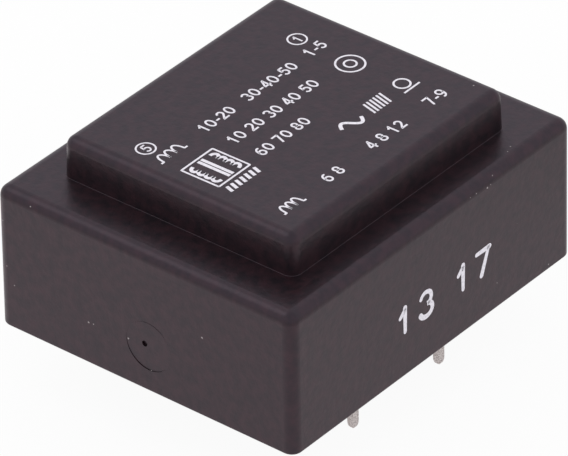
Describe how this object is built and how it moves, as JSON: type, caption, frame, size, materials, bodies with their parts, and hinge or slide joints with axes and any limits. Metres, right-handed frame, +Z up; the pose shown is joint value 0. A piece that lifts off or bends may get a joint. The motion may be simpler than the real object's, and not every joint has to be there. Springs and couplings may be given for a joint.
{
  "type": "pcb transformer",
  "caption": "Resin-potted mains transformer for a circuit board, with a stepped black moulded housing, a laminated core and wound bobbin inside, and tinned square pins below.",
  "frame": {"origin": "centre of the body on the seating plane of the housing's rim, from which the pins reach down", "axes": "+Z up out of the board, +X along the pin rows, +Y towards the row of pins 1 to 5"},
  "size_m": [0.0322, 0.0272, 0.0204],
  "materials": {
    "case_plastic": "near-black moulded thermoplastic, fine matte texture",
    "resin": "cast black potting resin, smooth",
    "bobbin_plastic": "natural glass-filled nylon",
    "enamelled_copper": "enamelled copper wire, wound",
    "tape_film": "yellow polyester tape",
    "core_steel": "annealed silicon steel sheet",
    "tinned_pin": "tin plated, satin",
    "soldered_lead": "copper wire wrapped on the pin and dip soldered"
  },
  "bodies": {
    "root": {"housing": "case_plastic", "potting_resin": "resin", "bobbin": "bobbin_plastic", "primary_winding": "enamelled_copper", "secondary_winding": "enamelled_copper", "primary_tape": "tape_film", "secondary_tape": "tape_film", "e_lamination_1": "core_steel", "e_lamination_2": "core_steel", "e_lamination_3": "core_steel", "e_lamination_4": "core_steel", "e_lamination_5": "core_steel", "e_lamination_6": "core_steel", "e_lamination_7": "core_steel", "e_lamination_8": "core_steel", "e_lamination_9": "core_steel", "e_lamination_10": "core_steel", "i_lamination_1": "core_steel", "i_lamination_2": "core_steel", "i_lamination_3": "core_steel", "i_lamination_4": "core_steel", "i_lamination_5": "core_steel", "i_lamination_6": "core_steel", "i_lamination_7": "core_steel", "i_lamination_8": "core_steel", "i_lamination_9": "core_steel", "i_lamination_10": "core_steel", "pin_1": "tinned_pin", "pin_5": "tinned_pin", "pin_7": "tinned_pin", "pin_9": "tinned_pin", "lead_1": "soldered_lead", "lead_5": "soldered_lead", "lead_7": "soldered_lead", "lead_9": "soldered_lead"}
  },
  "joints": []
}
